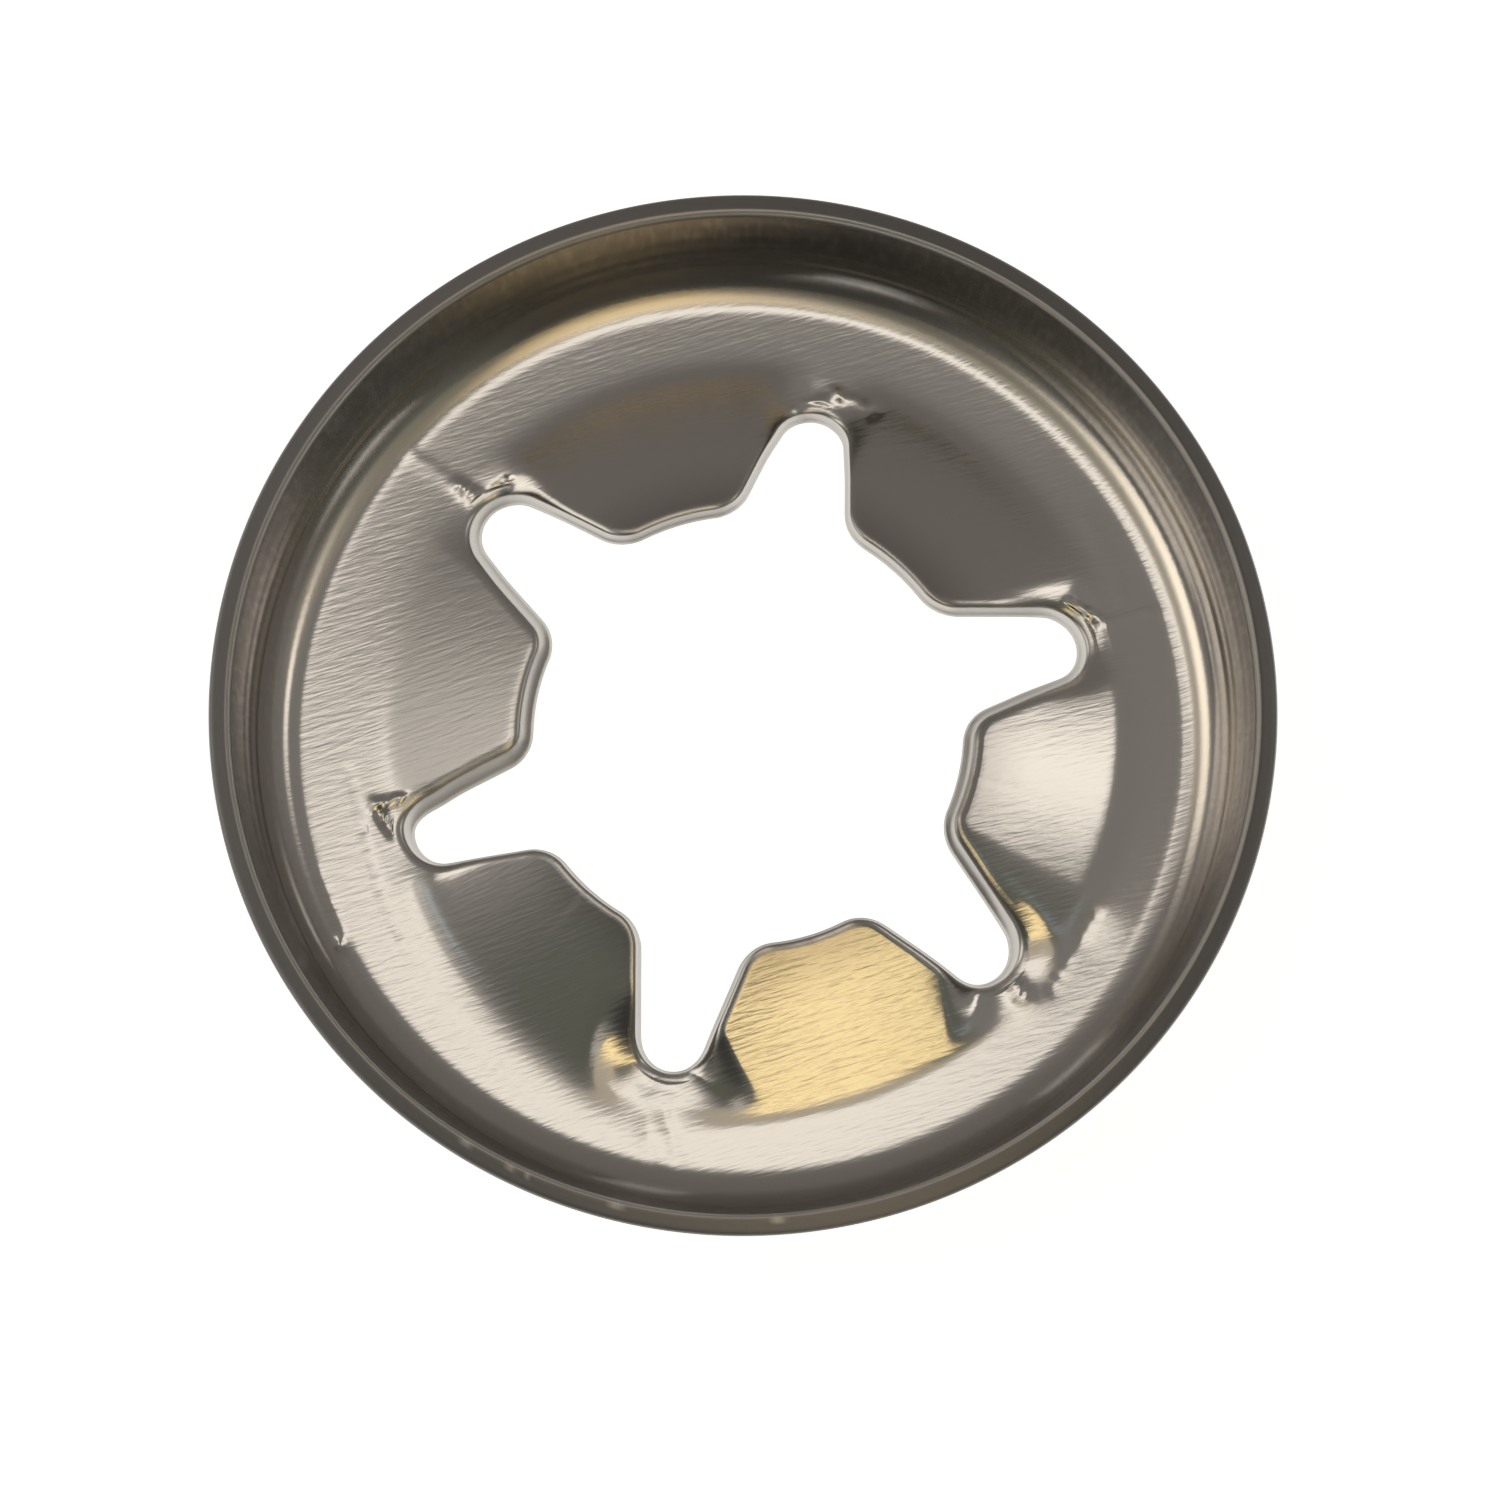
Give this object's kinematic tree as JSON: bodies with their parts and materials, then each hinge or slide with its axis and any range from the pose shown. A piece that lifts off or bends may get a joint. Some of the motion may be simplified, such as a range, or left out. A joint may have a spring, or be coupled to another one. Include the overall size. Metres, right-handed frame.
{
  "type": "push-on retaining washer",
  "caption": "Push-on retaining washer stamped from spring steel: a flat ring with a flared rim and turned-up inner teeth that bite on a plain shaft.",
  "frame": {"origin": "centre of the flat bearing face, on the shaft's axis", "axes": "+Z along the shaft's axis, from the bearing face to the side that the rim and the teeth turn up to; +X through the middle of a slot"},
  "size_m": [0.015, 0.015, 0.0021],
  "materials": {
    "spring_steel": "bright rolled sheet, semi-gloss, with fine straight rolling grain"
  },
  "bodies": {
    "root": {"washer": "spring_steel"}
  },
  "joints": []
}
